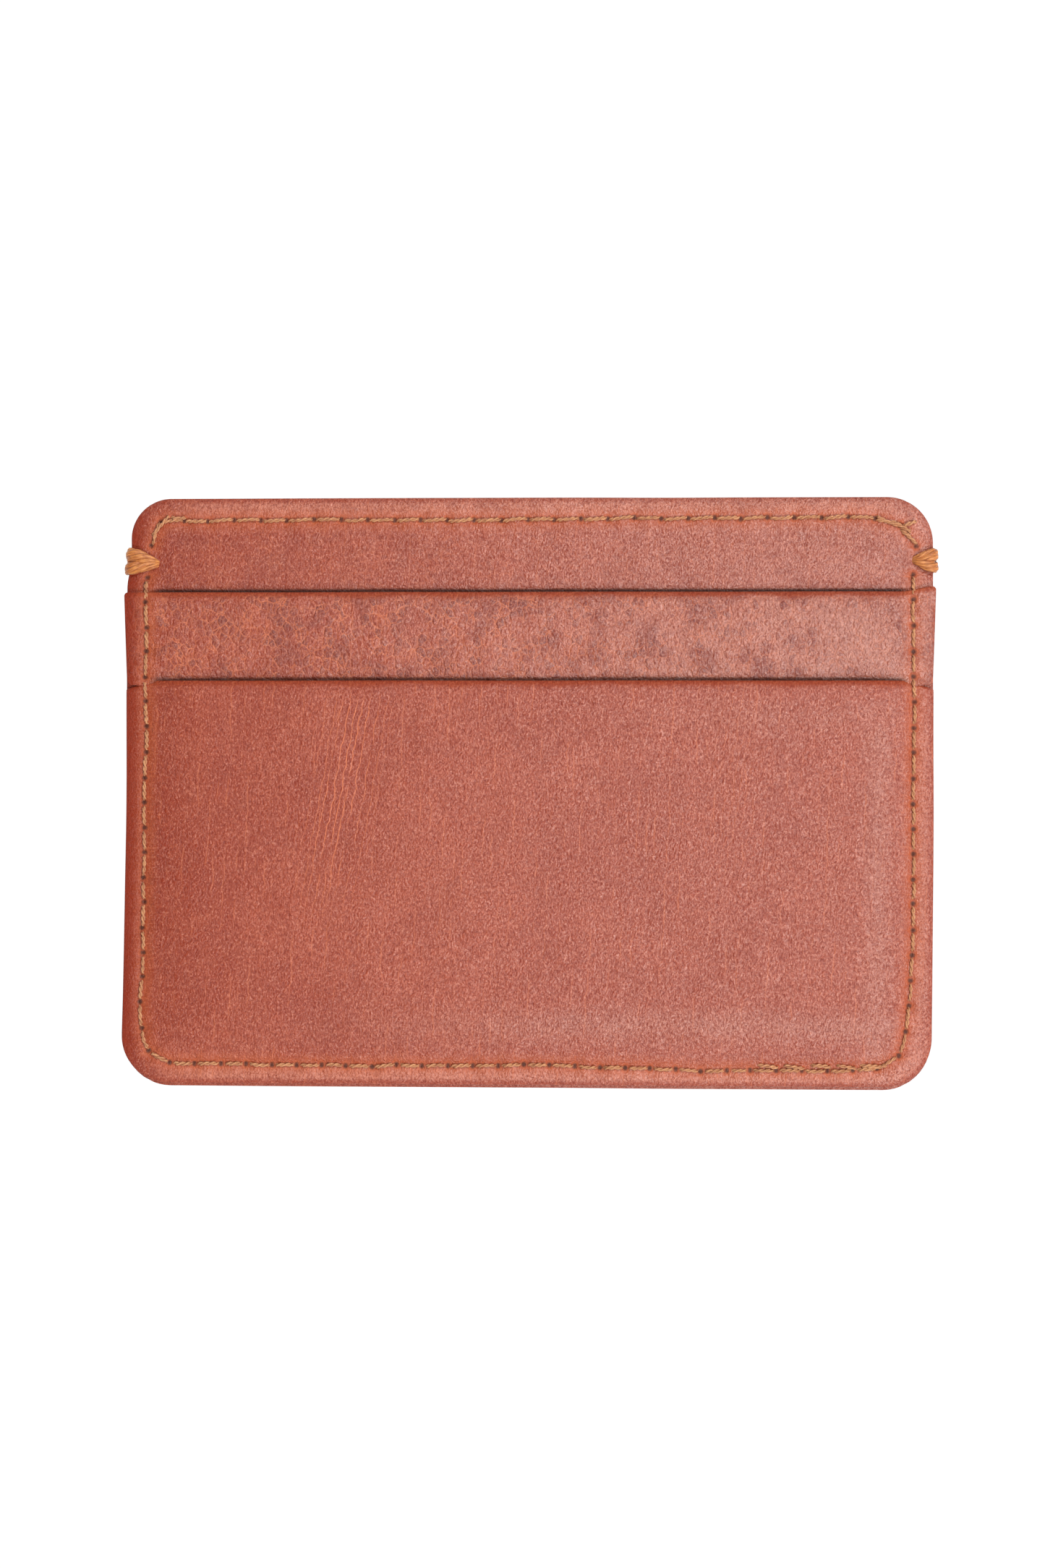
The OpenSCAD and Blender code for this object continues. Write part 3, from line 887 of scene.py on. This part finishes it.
def leather_colour(n, hide, opened, crackle, grain, sheen_paint):
    """The dye, with everything that lies over it, in turn, painted shade and highlights among them."""
    # Deeper red towards the left is painted shade, away from the lamps; the cloud adds random tone.
    left_shade_and_tone = n.plus(n.ramp(hide.right, -50.0, -41.0, 0.65, 0.0),
                    n.ramp(hide.right, -46.0, -2.0, 0.50, 0.05))
    left_shade_and_tone = n.plus(left_shade_and_tone, n.ramp(hide.cloud, 0.35, 0.65, -0.25, 0.30), clamp=True)
    # A pale sheen painted towards the right, as a highlight.
    right_sheen = n.times(n.ramp(hide.right, -24.0, 42.0, 0.0, 1.0), n.ramp(hide.cloud, 0.30, 0.60, 0.75, 1.0))
    dark = n.times(n.ramp(hide.tone, 0.25, 0.9), n.ramp(hide.blotch, 0.38, 0.60))
    dark = n.plus(n.times(dark, 0.85 * crackle), n.ramp(hide.patch, 0.44, 0.66, 0.0, 0.75 * crackle))
    # The dark cells fade under the painted sheen highlight.
    dark = n.times(dark, n.ramp(hide.bloom, 0.0, 1.0, 1.0, 0.25), clamp=True)
    pores = n.plus(n.ramp(hide.speck, 0.32, 0.56, 0.80 * grain, 0.0),
                   n.ramp(hide.pebble, 0.30, 0.62, 0.0, 0.35 * grain), clamp=True)
    light = n.ramp(hide.speck, 0.50, 0.70, 0.0, 0.70 * grain)
    kept = n.ramp(hide.burnish, 0.0, 1.0, 1.0, 0.4)
    colour = RUST
    for share, over in (
        (left_shade_and_tone, MAROON),
        # painted sheen highlight
        (n.most(n.times(right_sheen, sheen_paint), hide.bloom), PAINTED_SHEEN_TINT),
        # painted highlight on the padded rims
        (n.times(hide.worn, 0.80), RIM_HIGHLIGHT_TINT),
        (dark, SMOKE),
        # burnished edges; on the mouths' folds partly painted shade
        (n.times(hide.burnish, 0.85), EMBER),
        (pores, PORE),
        (n.times(light, kept), GLOW),
        (n.times(opened, kept), SEAR),
        (n.times(hide.seam, 0.75), BARE),
        # painted shade on the left rim
        (n.ramp(hide.right, -50.3, -47.0, 1.0, 0.0), LEFT_RIM_SHADE),
        # painted shade down in the mouths and the stitch holes
        (hide.deep, PAINTED_SHADE_DARK),
    ):
        colour = n.mix(share, colour, over)
    return colour


def leather_relief(n, hide, opened, crackle):
    """Its normal: fine grain, with the wider cells as small pillows."""
    fine = n.math("SUBTRACT", n.times(hide.speck, 0.8), n.times(hide.pebble, 0.7))
    pillow = n.math("SUBTRACT", n.ramp(hide.inward, 0.0, 0.38), n.times(opened, 0.5))
    return n.bump(n.times(pillow, crackle), 0.12, 0.5, n.bump(fine, 0.11, 0.95))


def leather_gloss(n, hide, opened, crackle, sheen):
    """How strong its wax coat is: weak in holes, folds and burnished edges, and on the left."""
    dull = n.most(hide.deep, n.times(hide.burnish, 0.85), n.times(hide.seam, hide.seam),
                  n.times(opened, 0.5), n.ramp(hide.right, -50.2, -47.0, 0.95, 0.0))
    gloss = n.ramp(dull, 0.0, 1.0, 1.0, 0.05)
    for share in (n.ramp(hide.speck, 0.36, 0.64, 0.25, 1.6),
                  n.ramp(hide.patch, 0.30, 0.70, 1 + 0.35 * crackle, 1 - 0.35 * crackle),
                  n.ramp(hide.right, -48.0, 20.0, 0.36, 1.10),
                  n.ramp(hide.bloom, 0.0, 1.0, 1.0, 1.8)):
        gloss = n.times(gloss, share)
    return n.times(gloss, 0.56 * sheen, clamp=True)


def leather(name, crackle, cell, tall, streak, grain, sheen_paint, sheen):
    """Waxed leather with a soft sheen. crackle says how strongly its wider cells show, cell is
    their width in mm, and tall how much taller than wide they are; streak, grain, sheen_paint and
    sheen say how strong its upright lines, its fine grain, its painted sheen highlight and its
    gloss are."""
    n = Nodes(name)
    hide = hide_fields(n, cell, tall)
    opened = opened_grain(n, hide, crackle, streak)
    normal = leather_relief(n, hide, opened, crackle)
    rough = n.plus(n.ramp(hide.blotch, 0.30, 0.70, 0.34, 0.48), n.times(hide.burnish, 0.4))
    rough = n.plus(rough, n.times(opened, 0.12), clamp=True)
    return n.finish(
        Base_Color=leather_colour(n, hide, opened, crackle, grain, sheen_paint), Roughness=rough,
        Normal=normal, Specular_IOR_Level=0.30,
        Coat_Weight=leather_gloss(n, hide, opened, crackle, sheen),
        Coat_Roughness=0.25, Coat_IOR=1.7, Coat_Normal=normal)


def flesh_side():
    """The rough inner side of the leather."""
    n = Nodes("flesh_side")
    rest = n.attribute("rest")
    fuzz = n.noise(rest, 3.0, 5.0, 0.7)
    colour = n.mix(fuzz, (0.30, 0.14, 0.075), (0.46, 0.25, 0.15))
    return n.finish(Base_Color=colour, Roughness=0.92, Normal=n.bump(fuzz, 0.08, 0.7))


def woven(name, dark, light, pitch):
    """Plain-woven cloth with threads at this pitch, in mm."""
    n = Nodes(name)
    rest = n.attribute("rest")
    waves = []
    for axis in ("X", "Y"):
        wave = n.node("TexWave", {"bands_direction": axis, "wave_profile": "SIN"},
                      Vector=rest, Scale=0.314 / pitch, Distortion=0.4, Detail=1.0)
        waves.append(wave.outputs["Fac"])
    weave = n.times(*waves)
    stray = n.noise(n.scaled(rest, 0.3, 3.0, 1.0), 1.6, 3.0)
    colour = n.mix(n.plus(n.times(weave, 0.6), n.times(stray, 0.4)), dark, light)
    return n.finish(Base_Color=colour, Roughness=0.88, Normal=n.bump(weave, 0.06, 0.6),
                    Sheen_Weight=0.25, Sheen_Roughness=0.5)


def yarn(name, dark, light, rough, fibre):
    """Twisted thread with fibres of this width, in mm, along its plies."""
    n = Nodes(name)
    rest = n.attribute("rest")
    strand = n.noise(n.scaled(rest, 0.12 / fibre, 1 / fibre, 1 / fibre), 1.0, 2.0, 0.6)
    patch = n.noise(rest, 0.9, 2.0, 0.5)
    tone = n.plus(n.times(strand, 0.8), n.times(patch, 0.35))
    colour = n.mix(n.ramp(tone, 0.38, 0.80), dark, light)
    return n.finish(Base_Color=colour, Roughness=rough, Normal=n.bump(strand, 0.05, 0.7),
                    Sheen_Weight=0.15, Sheen_Roughness=0.4)


def board(name, dark, light, scale):
    """Pressed fibre: card or paper tape."""
    n = Nodes(name)
    place = n.scaled(n.node("TexCoord").outputs["Object"], 1000, 1000, 1000)
    fibre = n.noise(n.scaled(place, 0.5, 1.6, 1.0), scale, 5.0, 0.65)
    return n.finish(Base_Color=n.mix(fibre, dark, light), Roughness=0.85,
                    Normal=n.bump(fibre, 0.03, 0.5))


FACE = leather("leather_face", crackle=0.34, cell=1.2, tall=0.7, streak=0.30, grain=0.85,
               sheen_paint=0.50, sheen=1.25)
STRIP = leather("leather_strip", crackle=0.92, cell=0.88, tall=1.35, streak=0.40, grain=0.75,
                sheen_paint=0.95, sheen=1.60)
POCKET = leather("leather_pocket", crackle=0.14, cell=1.2, tall=2.0, streak=0.42, grain=0.85,
                 sheen_paint=0.10, sheen=1.00)
FLESH = flesh_side()
LINING = woven("lining_cloth", (0.050, 0.030, 0.020), (0.15, 0.095, 0.060), 0.45)
SLOT_CLOTH = woven("slot_cloth", (0.070, 0.045, 0.030), (0.19, 0.125, 0.085), 0.32)
THREAD = yarn("sewing_thread", (0.34, 0.105, 0.040), (0.86, 0.43, 0.20), rough=0.6, fibre=0.05)
WAXED = yarn("waxed_thread", (0.38, 0.095, 0.018), (0.84, 0.34, 0.095), rough=0.45, fibre=0.09)
CARD = board("stiffener_card", (0.36, 0.26, 0.17), (0.52, 0.40, 0.28), 1.2)
TAPE = board("basting_tape", (0.60, 0.56, 0.49), (0.78, 0.75, 0.69), 0.8)

# --- Leather pieces ---


def bow(piece, reach):
    """A mouth bows between its sewn ends: the blend fades out towards them."""
    weights = piece.data.attributes["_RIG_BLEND"].data
    share = np.zeros(len(weights), np.float32)
    weights.foreach_get("value", share)
    across = np.array([v.co.x for v in piece.data.vertices]) / MM
    weights.foreach_set("value", (share * np.clip(1 - (across / reach) ** 2, 0, 1)).astype(np.float32))


def at(y):
    """The frame's point, in metres, at this height of the holder."""
    return (0.0, y * MM, mid_z * MM)


LIP_BEND = at(fold_y - 0.2), at(fold_y + 3.0)  # from where to where a lip bends


def face_leather(half, side, step):
    """A half's whole face, with its lip."""
    piece = slab(
        f"{half}_face_leather", side, face_left, face_right,
        [(bottom_y, bottom_y + 6, step), (bottom_y + 6, upper_y - 2, HIDDEN_STEP),
         (upper_y - 2, top_y, step)],
        step, face_top(side), face_under, [FACE, FLESH], HEM,
        dyed([lip_rows[side], seam_rows[side]], face_outline, under_y=upper_y))
    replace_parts(piece, f"{half}_face_panel", f"{half}_face_lip")
    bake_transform(piece, "holder", f"{half}_lip", *LIP_BEND)


def upper_leather(half, side, step):
    """The upper pocket, tucked under the lower one."""
    piece = slab(
        f"{half}_upper_pocket_leather", side, upper_left, upper_right,
        [(tuck_y, lower_y - 1.2, HIDDEN_STEP), (lower_y - 1.2, upper_y, step)],
        step, upper_top(side), upper_under, [STRIP, FLESH], HEM,
        dyed([seam_rows[side]], upper_outline, mouth_y=upper_y, under_y=lower_y))
    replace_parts(piece, f"{half}_upper_pocket", f"{half}_upper_pocket_mouth")
    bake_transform(piece, "holder", f"{half}_upper_mouth", at(lower_y - 2), at(upper_y - 2.5))
    bow(piece, half_w - SLOT_EDGE)


def lower_leather(half, side, step):
    """The lower pocket, from its mouth to the base."""
    piece = slab(
        f"{half}_lower_pocket_leather", side, lower_left, lower_right,
        [(bottom_y, lower_y, step)],
        step, lower_top(side), lower_under, [POCKET, FLESH], HEM,
        dyed([seam_rows[side]], polygon(lower_left, lower_right), mouth_y=lower_y, creased=side > 0))
    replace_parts(piece, f"{half}_lower_pocket", f"{half}_lower_pocket_mouth")
    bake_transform(piece, "holder", f"{half}_lower_mouth", at(lower_mouth_low[1] - 5), at(lower_y - 4))
    bow(piece, half_w - SLOT_EDGE)


for half, side in SIDES.items():
    step = STEP if side > 0 else BACK_STEP
    face_leather(half, side, step)
    upper_leather(half, side, step)
    lower_leather(half, side, step)

# --- Linings, slot cloths, stiffeners and tape ---


def level(h, wave=0.0, seed=0):
    """A flat surface at height h, with a slight waviness."""
    return lambda x, y, high=None: h + wave * noise(x / 6, y / 6, seed)


def lining(half, side):
    """The cloth that lines half of the centre compartment, with its lip."""
    inset = half_w - lining_high[0]
    sides = chain(half_w - inset, bottom_y + inset, top_y - inset, CORNER_R - inset, CORNER_R - inset)
    piece = slab(
        f"{half}_lining_cloth", side, mirrored(sides), sides,
        [(bottom_y + inset, fold_y - 2, CLOTH_STEP), (fold_y - 2, top_y - inset, 0.6)], CLOTH_STEP,
        level(hem_h - 0.01, 0.004, 71), level(lining_h, 0.01, 72), [LINING], radius=0.07)
    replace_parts(piece, f"{half}_lining", f"{half}_lip_lining")
    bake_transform(piece, "holder", f"{half}_lip", *LIP_BEND)


def slot_cloth(half, side):
    """The thin cloth behind an upper pocket."""
    wide, low, high = cloth_high[0], cloth_low[1], cloth_high[1]
    sides = chain(wide, low, high, 0.5, 0.5)
    piece = slab(
        f"{half}_slot_cloth", side, mirrored(sides), sides, [(low, high, CLOTH_STEP)], CLOTH_STEP,
        level(rim_h - SKIN - 0.02, 0.01, 73), level(rim_h - SKIN - 0.14, 0.01, 73), [SLOT_CLOTH],
        radius=0.055)
    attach(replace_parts(piece, f"{half}_upper_slot_cloth"), "holder")


for half, side in SIDES.items():
    lining(half, side)
    slot_cloth(half, side)

for node, material in (("front_stiffener", CARD), ("back_stiffener", CARD), ("seam_tape", TAPE)):
    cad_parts[node].data.materials.clear()
    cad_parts[node].data.materials.append(material)

# --- Stitches ---


def seam_surface(side):
    """Height of whichever leather the seam lies on."""
    face, upper, lower = face_top(side), upper_top(side), lower_top(side)

    def surface(x, y):
        return np.where(y > upper_y, face(x, y), np.where(y > lower_y, upper(x, y), lower(x, y)))

    return surface


def level_on(surface, lift):
    """A little above a surface: for the stitches sewn over others."""
    return lambda x, y: surface(x, y) + lift


def again(stitched):
    """The ends of stitches sewn twice where a row starts or stops."""
    ends = np.array(stitched)
    return ends[:, :2], ends[:, 2:]


# Stitches sewn over the rows, to fasten off the thread: x and y of each one's two ends.
LIP_AGAIN = [(end_x + x0, lip_row_y + y0, end_x + x1, lip_row_y + y1)
             for end_x, x0, y0, x1, y1 in (
                 (-seam_x, 2.4, 0.55, 0.25, -1.9), (-seam_x, 4.6, 0.30, 2.7, 0.30),
                 (seam_x, -4.6, 0.25, -1.9, -0.95), (seam_x, -2.7, -0.35, -0.4, -1.65),
                 (seam_x, -1.6, -1.45, 0.35, -3.1), (seam_x, -1.3, -0.95, 0.2, -0.35))]
SEAM_AGAIN = [(seam_x - x, seam_y + y, seam_x - x + 2.4, seam_y + y + slope)
              for x, y, slope in ((19.0, 0.3, -0.3), (15.8, 0.25, -0.35), (12.5, 0.3, -0.2),
                                  (9.4, 0.35, -0.4), (6.4, 0.3, -0.1), (5.6, -0.25, 0.6))]


def seam_stitches(node, side):
    """One side of the seam that joins the halves."""
    parts, row, surface = Parts(), seam_rows[side], seam_surface(side)
    stitches(parts, row.starts, row.ends, row.chance, surface, side)
    stitches(parts, *again(SEAM_AGAIN), row.chance, level_on(surface, 0.10), side)
    piece = parts.piece(node.replace("thread", "stitches"), [THREAD])
    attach(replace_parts(piece, node), "holder")


def lip_stitches(half, side):
    """The row along a lip, with its smaller stitches on the lining."""
    parts, row, surface = Parts(), lip_rows[side], face_top(side)
    stitches(parts, row.starts, row.ends, row.chance, surface, side)
    stitches(parts, *again(LIP_AGAIN), row.chance, level_on(surface, 0.12), side)
    stitches(parts, row.starts, row.ends, row.chance, level(-lining_h), -side, radius=0.10, rings=9)
    piece = parts.piece(f"{half}_lip_stitches", [THREAD])
    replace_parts(piece, f"{half}_lip_thread")
    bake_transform(piece, "holder", f"{half}_lip", *LIP_BEND)


def base_stitches(half, side):
    """The hidden row that holds a slot cloth's base."""
    base_y = (base_row_low[1] + base_row_high[1]) / 2
    ends = [(base_row_low[0], base_y), (0, base_y), (base_row_high[0], base_y)]
    parts, row = Parts(), Row(along(ends, pitch=3.1), 41 + side, gap=0.6)
    stitches(parts, row.starts, row.ends, row.chance, level(rim_h - SKIN), side, radius=0.12,
             rings=9)
    piece = parts.piece(f"{half}_slot_base_stitches", [THREAD])
    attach(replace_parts(piece, f"{half}_slot_base_thread"), "holder")


for (half, side), node in zip(SIDES.items(), ("seam_needle_thread", "seam_bobbin_thread")):
    seam_stitches(node, side)
    lip_stitches(half, side)
    base_stitches(half, side)

# --- Bar tacks ---

FLATTENED = 1.45  # how much wider a bar tack's strand is than it is thick


def strand_path(way, hole_x, hole_y, edge_y):
    """A strand's path round the edge, and how near the edge each of its points is, from 0 to 1."""
    turn = np.linspace(-1, 1, 61)
    out = np.cos(turn * np.pi / 2) ** 0.55
    x = hole_x + (half_w + 0.30 - hole_x) * out
    high = (face_h + 0.12) * np.abs(np.sin(turn * np.pi / 2)) ** 0.35
    high = high + 0.10 * np.sin(np.pi * abs(turn)) - 0.8 * bell((1 - abs(turn)) / 0.06)
    y = hole_y + (edge_y - hole_y) * smooth(out * 1.02) ** 0.9
    return np.c_[way * x, y, mid_z - np.sign(turn) * high], out


def bar_tack(name, way, inset, hole_y, strands):
    """Thick waxed strands from one hole, round the edge, to the same hole at the back. strands
    gives each one's place at the edge and its width there."""
    parts = Parts()
    at_hole = 0.45  # a strand's width in the hole
    for k, (edge_y, width) in enumerate(strands):
        path, out = strand_path(way, half_w - inset, hole_y, edge_y)
        radius = 0.5 * (at_hole + (width - at_hole) * smooth(out * 1.15)) / FLATTENED
        parts.add(plies(path, np.array([0.0, 1.0, 0.0]), radius, count=5, pitch=9.0,
                        phase=1.3 * k, flat=FLATTENED, core=True))
    piece = parts.piece(name + "_strands", [WAXED])
    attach(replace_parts(piece, name), "holder")


bar_tack("left_bar_tack", -1, 4.7, tack_y - 0.25, ((tack_y + 0.95, 1.9), (tack_y - 0.60, 1.8)))
bar_tack("right_bar_tack", 1, 3.3, tack_y + 0.2, ((tack_y + 0.80, 1.7), (tack_y - 0.85, 1.75)))

# --- Camera, floor and lights ---

FRAME_TALL = 194.3  # what the frame's height covers, in mm
VIEW_X, VIEW_Y = -0.94, 0.9  # the frame's middle, from the holder's, in mm

camera_data = bpy.data.cameras.new("camera")
camera_data.lens = 100
camera_data.sensor_width = 36
camera = bpy.data.objects.new("camera", camera_data)
distance = FRAME_TALL * camera_data.lens / camera_data.sensor_width
camera.location = (VIEW_X * MM, VIEW_Y * MM, (mid_z + face_h + distance) * MM)
camera_data.clip_start = 0.01
bpy.context.scene.collection.objects.link(camera)
bpy.context.scene.camera = camera


def floor():
    """A pale floor that curves up far behind the holder."""
    n = Nodes("floor")
    n.finish(Base_Color=(0.90, 0.90, 0.90, 1), Roughness=0.9, Specular_IOR_Level=0.2)
    n.put(n.shader, "Emission Color", (1, 1, 1, 1))
    n.put(n.shader, "Emission Strength", 1.05)
    turn = np.linspace(0, 2 * np.pi, 64, endpoint=False)
    rings = ((2600, 0), (2900, 30), (3100, 130), (3200, 300), (3250, 650))
    points = np.vstack([np.c_[r * np.cos(turn), r * np.sin(turn), turn * 0 + z] for r, z in rings])
    number = np.arange(len(points)).reshape(len(rings), -1)
    faces = [number[0].tolist(), *tube_quads(number).tolist()]
    new_mesh("floor", points, faces, [n.material])


def softbox(name, place, size, power):
    """A rectangular area light at place, in metres, turned to face the holder."""
    data = bpy.data.lights.new(name, "AREA")
    data.shape = "RECTANGLE"
    data.size, data.size_y = size
    data.energy = power
    light = bpy.data.objects.new(name, data)
    light.location = place
    light.rotation_mode = "QUATERNION"
    light.rotation_quaternion = Vector(np.zeros(3) - place).to_track_quat("-Z", "Y")
    bpy.context.scene.collection.objects.link(light)


floor()
softbox("right", (0.48, 0.0, 0.95), (0.35, 0.6), 4.3)
softbox("top", (0.20, 0.57, 0.84), (0.75, 0.3), 4.2)
softbox("bottom", (0.20, -0.57, 0.84), (0.75, 0.3), 5.6)
world = bpy.data.worlds.new("studio")
bpy.context.scene.world = world
world.use_nodes = True
background = world.node_tree.nodes["Background"]
background.inputs["Color"].default_value = (1, 1, 1, 1)
background.inputs["Strength"].default_value = 0.10
bpy.context.scene.view_settings.view_transform = "Standard"
